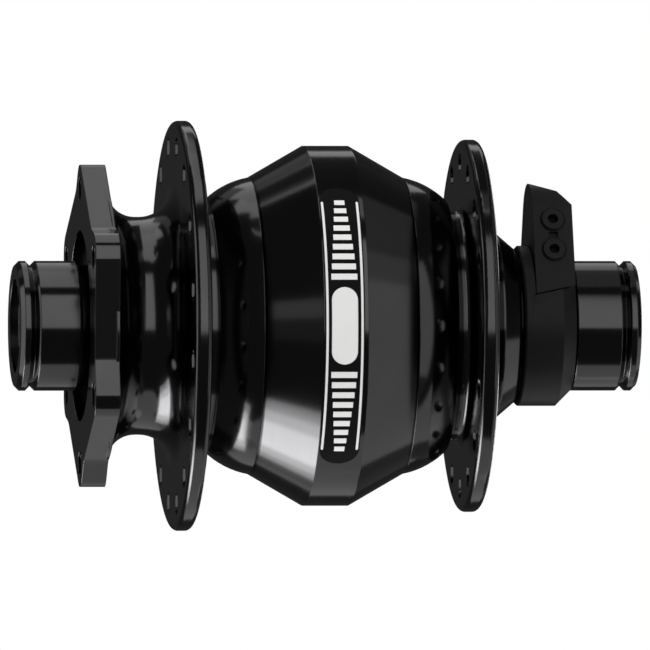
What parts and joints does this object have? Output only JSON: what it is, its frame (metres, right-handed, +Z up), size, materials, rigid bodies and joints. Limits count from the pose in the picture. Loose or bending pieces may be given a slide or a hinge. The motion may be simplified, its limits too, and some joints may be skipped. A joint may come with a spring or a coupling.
{
  "type": "hub dynamo",
  "caption": "Front bicycle hub with a claw-pole dynamo inside its drum, spoke flanges, a disc rotor mount, grooved through-axle end caps and a pull-off electrical connector.",
  "frame": {"origin": "on the axle's axis, midway between the two end faces", "axes": "+Y along the axle to the disc side (the rider's left), +X forward, +Z up along the connector tower"},
  "size_m": [0.0657, 0.1, 0.0656],
  "materials": {
    "black_anodised": "gloss black anodised",
    "bare_aluminium": "fine turned",
    "black_plastic": "fine moulded grain",
    "black_rubber": "matte",
    "bearing_steel": "ground and polished",
    "cage_polymer": "moulded polyamide",
    "soft_iron": "stamped, zinc plated",
    "magnet_nickel": "nickel plated",
    "copper_wire": "enamelled copper",
    "bobbin_plastic": "moulded",
    "lead_insulation": "silicone insulation",
    "terminal_brass": "tinned spring brass"
  },
  "bodies": {
    "axle": {"axle": "bare_aluminium", "left_end_cap": "black_anodised", "right_end_cap": "black_anodised", "end_cap_o_rings": "black_rubber", "bearing_spacer": "bare_aluminium", "stator_core": "soft_iron", "left_claw_pole": "soft_iron", "right_claw_pole": "soft_iron", "coil_bobbin": "bobbin_plastic", "coil_winding": "copper_wire", "coil_leads": "lead_insulation", "stator_nut": "bearing_steel", "connector_base": "black_plastic", "connector_terminals": "terminal_brass", "left_bearing_inner": "bearing_steel", "right_bearing_inner": "bearing_steel"},
    "shell": {"disc_side_shell": "black_anodised", "centre_drum": "black_anodised", "cable_side_shell": "black_anodised", "drum_o_rings": "black_rubber", "magnet_yoke": "soft_iron", "rotor_magnets": "magnet_nickel", "left_dust_seal": "black_rubber", "right_dust_seal": "black_rubber", "left_bearing_outer": "bearing_steel", "left_bearing_seals": "black_rubber", "right_bearing_outer": "bearing_steel", "right_bearing_seals": "black_rubber"},
    "left_cage": {"left_bearing_balls": "bearing_steel", "left_bearing_cage": "cage_polymer"},
    "right_cage": {"right_bearing_balls": "bearing_steel", "right_bearing_cage": "cage_polymer"},
    "plug": {"connector_plug": "black_plastic", "plug_contacts": "terminal_brass"}
  },
  "joints": [
    {"name": "shell_spin", "type": "hinge", "parent": "axle", "child": "shell", "pos_m": [0, 0, 0], "axis": [0, 1, 0], "continuous": true},
    {"name": "left_cage_spin", "type": "hinge", "parent": "axle", "child": "left_cage", "pos_m": [0, 0.0305, 0], "axis": [0, 1, 0], "continuous": true},
    {"name": "right_cage_spin", "type": "hinge", "parent": "axle", "child": "right_cage", "pos_m": [0, -0.0203, 0], "axis": [0, 1, 0], "continuous": true},
    {"name": "plug_pull", "type": "slide", "parent": "axle", "child": "plug", "axis": [0, 0, 1], "range_m": [0, 0.015]}
  ],
  "couplings": [
    {"joint": "left_cage_spin", "follows": "shell_spin", "ratio": 0.5851},
    {"joint": "right_cage_spin", "follows": "shell_spin", "ratio": 0.5673}
  ]
}
